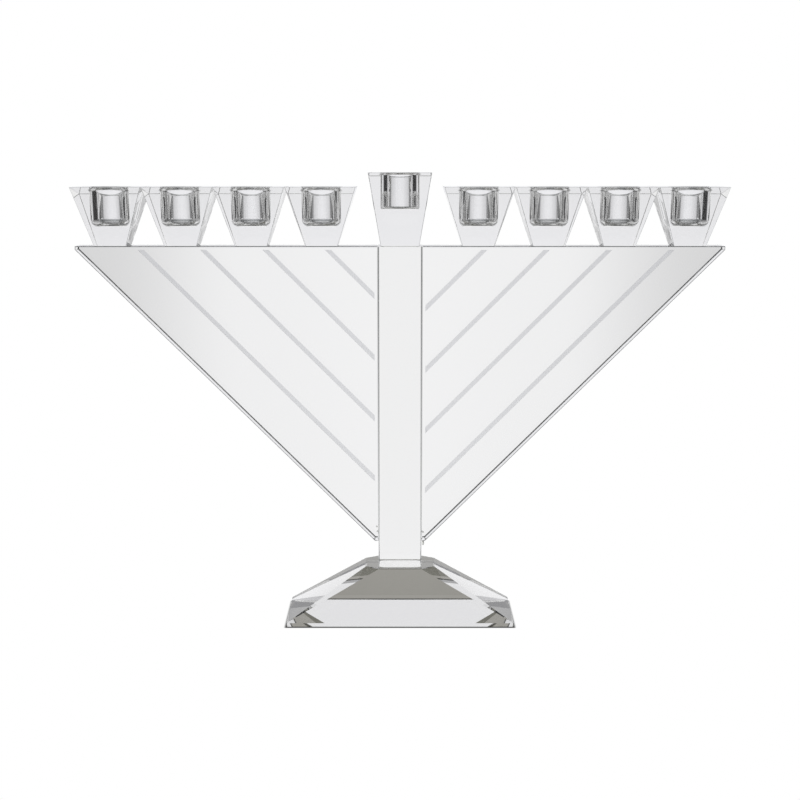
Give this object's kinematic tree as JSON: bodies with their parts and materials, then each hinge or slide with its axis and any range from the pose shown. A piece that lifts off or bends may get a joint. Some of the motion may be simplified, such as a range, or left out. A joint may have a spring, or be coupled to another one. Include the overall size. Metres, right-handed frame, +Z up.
{
  "type": "menorah",
  "caption": "Nine-branch Hanukkah lamp of bonded clear crystal blocks: roofed base, square column, triangular wings and a level row of square candle cups.",
  "frame": {"origin": "middle of the underside of the base", "axes": "+X along the row of cups, +Y from the front, which has the frosted lines, to the back, +Z up"},
  "size_m": [0.37, 0.052, 0.2606],
  "materials": {
    "optical_crystal": "polished lead-free optical crystal, with sandblasted lines on the wings' fronts",
    "clear_adhesive": "cured clear UV adhesive"
  },
  "bodies": {
    "root": {"base": "optical_crystal", "column": "optical_crystal", "cup_shamash": "optical_crystal", "wing_left": "optical_crystal", "wing_right": "optical_crystal", "cup_left_1": "optical_crystal", "cup_left_2": "optical_crystal", "cup_left_3": "optical_crystal", "cup_left_4": "optical_crystal", "cup_right_1": "optical_crystal", "cup_right_2": "optical_crystal", "cup_right_3": "optical_crystal", "cup_right_4": "optical_crystal", "bond_column": "clear_adhesive", "bond_shamash": "clear_adhesive", "bond_wing_left": "clear_adhesive", "bond_wing_right": "clear_adhesive", "bond_left_1": "clear_adhesive", "bond_left_2": "clear_adhesive", "bond_left_3": "clear_adhesive", "bond_left_4": "clear_adhesive", "bond_right_1": "clear_adhesive", "bond_right_2": "clear_adhesive", "bond_right_3": "clear_adhesive", "bond_right_4": "clear_adhesive"}
  },
  "joints": []
}
